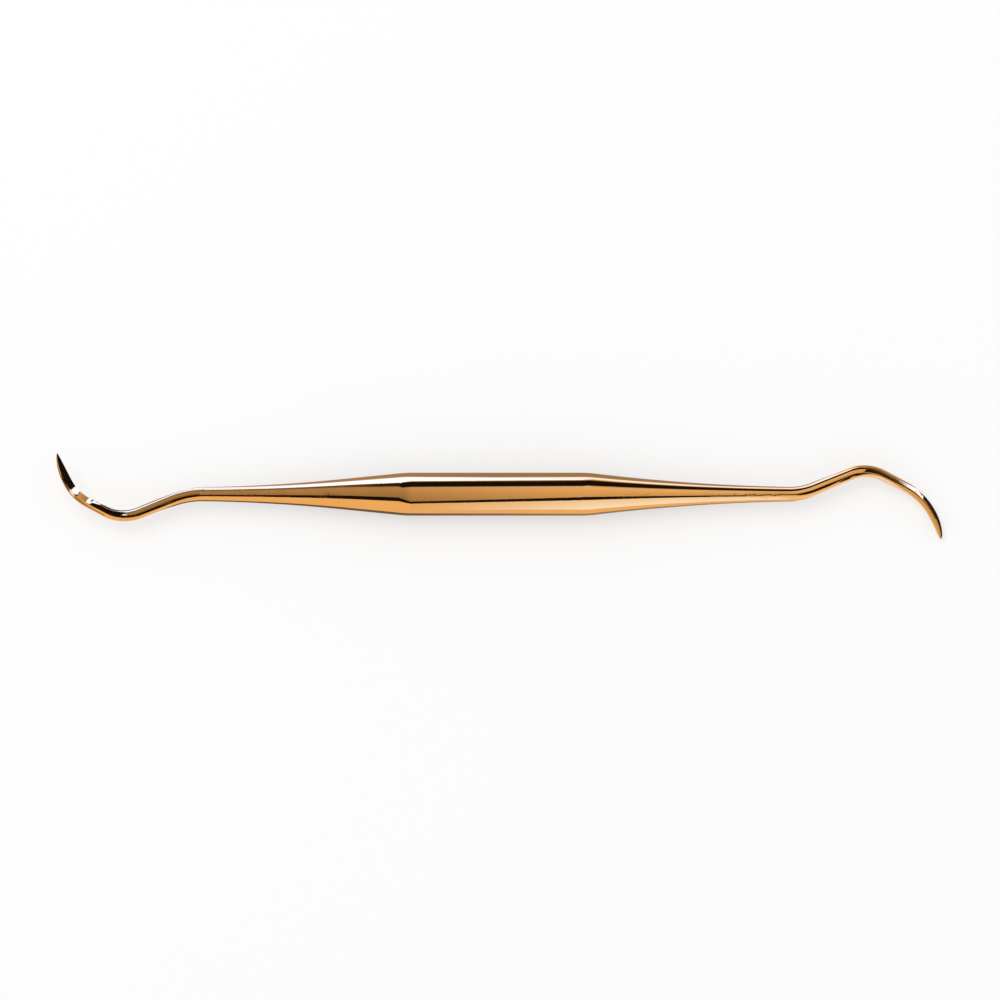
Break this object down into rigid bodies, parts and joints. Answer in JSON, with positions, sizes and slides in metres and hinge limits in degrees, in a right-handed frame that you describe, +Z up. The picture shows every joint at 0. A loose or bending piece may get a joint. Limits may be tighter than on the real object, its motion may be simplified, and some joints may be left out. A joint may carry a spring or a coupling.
{
  "type": "dental scaler",
  "caption": "Double-ended dental scaler in one piece: a round handle with a flared neck, a bent shank and a curved ground blade at each end.",
  "frame": {"origin": "the middle of the handle, on the surface that the scaler lies on", "axes": "+X along the handle towards the end with the rounded tip, +Y towards the side that the pointed tip hooks to, +Z up from the surface"},
  "size_m": [0.1649, 0.0159, 0.008],
  "materials": {
    "gold_coated_steel": "polished"
  },
  "bodies": {
    "root": {"scaler": "gold_coated_steel"}
  },
  "joints": []
}
